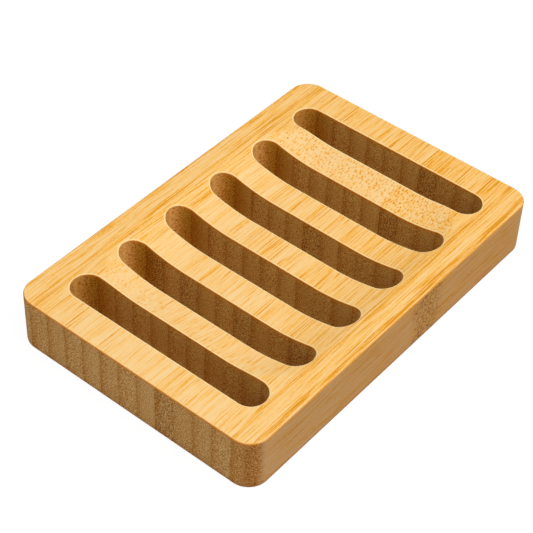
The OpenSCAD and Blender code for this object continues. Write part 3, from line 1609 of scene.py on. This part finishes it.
@dataclass(frozen=True)
class Lamp:
    """One soft square lamp that points at the board.

    Attributes:
        name: The lamp's name.
        place: Where it hangs.
        size: The side of its square.
        power: Its power in watts.
        target: The height above the origin that it points at.
    """

    name: str
    place: Triple
    size: float
    power: float
    target: float = 0.008

    def hang(self) -> None:
        """Makes the lamp."""
        data = bpy.data.lights.new(self.name, "AREA")
        data.shape, data.size, data.energy = "SQUARE", self.size, self.power
        lamp = bpy.data.objects.new(self.name, data)
        lamp.location = self.place
        line = Vector((0, 0, self.target)) - Vector(self.place)
        lamp.rotation_euler = line.to_track_quat("-Z", "Y").to_euler()
        bpy.context.scene.collection.objects.link(lamp)


@dataclass(frozen=True)
class Camera:
    """The camera, placed where the photograph's was.

    Attributes:
        azimuth: Its turn round the board.
        elevation: Its height above the horizon.
        roll: Its tilt to one side.
        distance: Its distance from the board's foot.
        aside: How far it stands to the right of the line to the board.
        above: How far it stands above that line.
        lens: Focal length, in millimetres.
        sensor: Width of the sensor, in millimetres.
    """

    azimuth: float = 0.66171
    elevation: float = 0.77022
    roll: float = 0.04249
    distance: float = 0.449142
    aside: float = -0.003748
    above: float = 0.005808
    lens: float = 111.224
    sensor: float = 36.0

    def build(self) -> None:
        """Makes the camera and sets the scene to it."""
        a, e = self.azimuth, self.elevation
        back = Vector((math.sin(a) * math.cos(e), -math.cos(a) * math.cos(e), math.sin(e)))
        level = Vector((math.cos(a), math.sin(a), 0))
        rise = back.cross(level)
        right = math.cos(self.roll) * level + math.sin(self.roll) * rise
        up = math.cos(self.roll) * rise - math.sin(self.roll) * level
        place = back * self.distance + right * self.aside + up * self.above
        data = bpy.data.cameras.new("camera")
        data.sensor_width, data.lens = self.sensor, self.lens
        data.clip_start, data.clip_end = 0.01, 50.0
        camera = bpy.data.objects.new("camera", data)
        turned = Matrix((right, up, back)).transposed().to_4x4()
        camera.matrix_world = Matrix.Translation(place) @ turned
        bpy.context.scene.collection.objects.link(camera)
        bpy.context.scene.camera = camera


@dataclass(frozen=True)
class Studio:
    """The pale floor and the soft light.

    Attributes:
        half_floor: Half the side of the floor.
        paper: How much of the light the floor throws back on to the board.
        shadow: How much of the light the floor shows to the eye, where a shadow can fall.
        glow: How bright it looks without light.
        soft: Strength of the even light from all round.
        white: Brightness of the white behind the board.
        lamps: The lamps.
    """

    half_floor: float = 3.0
    paper: float = 0.5
    shadow: float = 0.07
    glow: float = 0.955
    soft: float = 0.17
    white: float = 1.0
    lamps: tuple[Lamp, ...] = (
        Lamp("key_lamp", (0.61, 0.13, 1.41), 1.12, 22.2),
        Lamp("fill_lamp", (-0.25, -0.7, 0.5), 0.7, 0.9),
    )

    def by_eye(self, tree: Wiring, hidden: Socket, shown: Socket, output: Socket) -> None:
        """Shows one shader to rays that look straight, in a mirror or through glass.

        Args:
            tree: The tree that is built.
            hidden: The shader that lights the scene.
            shown: The shader that the eye sees.
            output: The input that takes the choice of the two.
        """
        path = tree.add("ShaderNodeLightPath").outputs
        seen = tree.math("MAXIMUM", path["Is Camera Ray"], path["Is Glossy Ray"])
        seen = tree.math("MAXIMUM", seen, path["Is Transmission Ray"])
        choice = tree.add("ShaderNodeMixShader")
        for socket, value in zip(choice.inputs, (seen, hidden, shown)):
            tree.feed(socket, value)
        tree.feed(output, choice.outputs[0])

    def shader(self, tree: Wiring, kind: str, grey: float, strength: float | None = None) -> Socket:
        """Adds a plain grey shader.

        Args:
            tree: The tree that is built.
            kind: The shader's kind.
            grey: Its colour, from 0 to 1.
            strength: Its strength, if it gives light.

        Returns:
            The shader's socket.
        """
        node = tree.add(f"ShaderNode{kind}")
        node.inputs["Color"].default_value = (grey, grey, grey, 1)
        if strength is not None:
            node.inputs["Strength"].default_value = strength
        return node.outputs[0]

    def floor(self) -> None:
        """Lays the plain floor: white to the eye, with a faint shadow, and mid grey to the light."""
        half = self.half_floor
        corners = [(-half, -half, 0), (half, -half, 0), (half, half, 0), (-half, half, 0)]
        mesh = bpy.data.meshes.new("floor")
        mesh.from_pydata(corners, [], [(0, 1, 2, 3)])
        floor = bpy.data.objects.new("floor", mesh)
        bpy.context.scene.collection.objects.link(floor)
        material = bpy.data.materials.new("floor_paper")
        material.use_nodes = True
        tree = Wiring(material.node_tree)
        both = tree.add("ShaderNodeAddShader")
        tree.feed(both.inputs[0], self.shader(tree, "BsdfDiffuse", self.shadow))
        tree.feed(both.inputs[1], self.shader(tree, "Emission", 1.0, self.glow))
        surface = tree.add("ShaderNodeOutputMaterial").inputs["Surface"]
        self.by_eye(tree, self.shader(tree, "BsdfDiffuse", self.paper), both.outputs[0], surface)
        mesh.materials.append(material)

    def world(self) -> None:
        """Sets the even light from all round, and the white that the eye sees behind the board."""
        world = bpy.data.worlds.new("studio")
        world.use_nodes = True
        bpy.context.scene.world = world
        tree = Wiring(world.node_tree)
        soft = self.shader(tree, "Background", 1.0, self.soft)
        white = self.shader(tree, "Background", 1.0, self.white)
        self.by_eye(tree, soft, white, tree.add("ShaderNodeOutputWorld").inputs["Surface"])

    def build(self) -> None:
        """Sets up the floor and the light."""
        self.floor()
        self.world()
        for lamp in self.lamps:
            lamp.hang()
        log.info("studio: floor, %d lamps and even light", len(self.lamps))


def main() -> None:
    logging.basicConfig(level=logging.INFO, format="%(message)s")
    bpy.context.scene.view_settings.view_transform = "Standard"
    Camera().build()
    Studio().build()
    Lamination().build()


if __name__ == "__main__":
    main()
